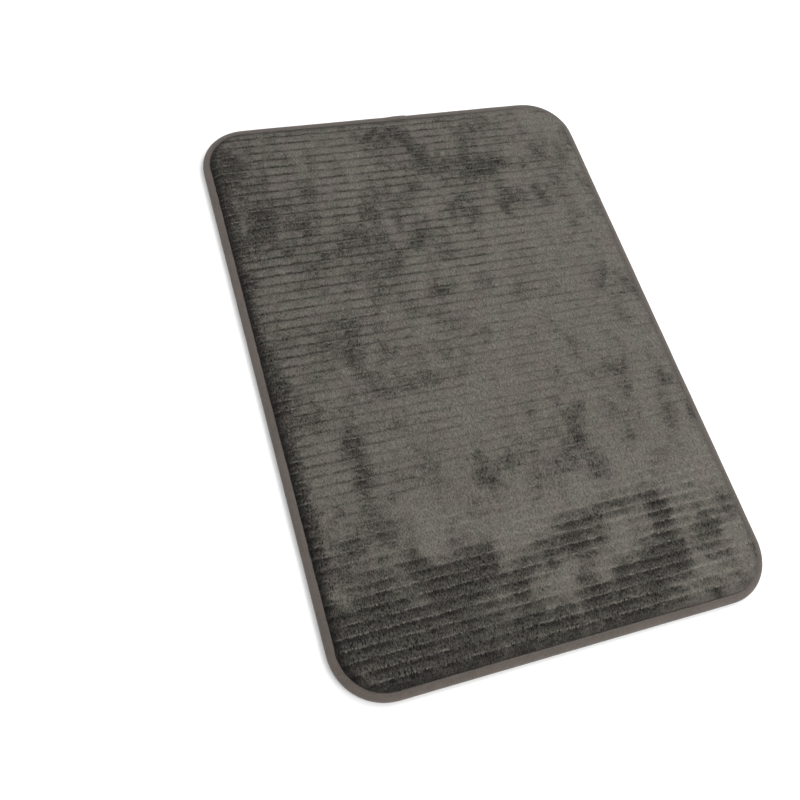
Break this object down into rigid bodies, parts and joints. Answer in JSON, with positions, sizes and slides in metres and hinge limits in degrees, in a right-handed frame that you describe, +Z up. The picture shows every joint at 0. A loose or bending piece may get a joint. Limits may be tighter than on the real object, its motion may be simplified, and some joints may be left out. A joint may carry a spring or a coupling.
{
  "type": "bath mat",
  "caption": "Rectangular padded bath mat with rounded corners: a ribbed fleece cover over a foam slab, a non-slip coated back and a bound edge.",
  "frame": {"origin": "on the floor, under the middle of the mat", "axes": "+Z up through the pile, +Y along the long side towards the short edge where the binding's ends meet, +X to the right along the ribs"},
  "size_m": [0.432, 0.6108, 0.0141],
  "materials": {
    "ribbed_fleece": "cut-pile fleece in narrow ribs, soft sheen with brushed light and dark marks",
    "memory_foam": "open-cell polyurethane foam",
    "backing_cloth": "flat woven polyester",
    "grip_coat": "printed soft studs, satin",
    "binding_tape": "matte brushed polyester tape",
    "sewing_thread": "spun polyester thread",
    "label_satin": "plain satin ribbon, unprinted"
  },
  "bodies": {
    "root": {"pile_cover": "ribbed_fleece", "foam_core": "memory_foam", "backing_cloth": "backing_cloth", "grip_coat": "grip_coat", "edge_binding": "binding_tape", "overlock_thread": "sewing_thread", "needle_thread": "sewing_thread", "bobbin_thread": "sewing_thread", "care_label": "label_satin"}
  },
  "joints": []
}
